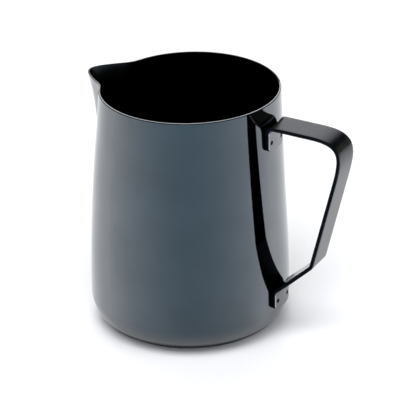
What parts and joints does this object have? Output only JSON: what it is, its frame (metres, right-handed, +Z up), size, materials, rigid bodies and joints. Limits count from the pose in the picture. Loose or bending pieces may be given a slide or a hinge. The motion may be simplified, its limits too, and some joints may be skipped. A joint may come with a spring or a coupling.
{
  "type": "milk frothing pitcher",
  "caption": "Round tapered steel milk jug with a pressed pouring spout, rounded base corner and a bent flat strap handle welded to its side.",
  "frame": {"origin": "the shell's axis at the surface that the pitcher stands on", "axes": "+Z up, +X towards the handle, -X towards the spout"},
  "size_m": [0.1244, 0.0884, 0.11],
  "materials": {
    "shell_coating": "gloss",
    "handle_coating": "fine brushed satin",
    "weld_metal": "dull"
  },
  "bodies": {
    "root": {"body_shell": "shell_coating", "handle_strap": "handle_coating", "weld_upper_near": "weld_metal", "weld_upper_far": "weld_metal", "weld_lower_near": "weld_metal", "weld_lower_far": "weld_metal"}
  },
  "joints": []
}
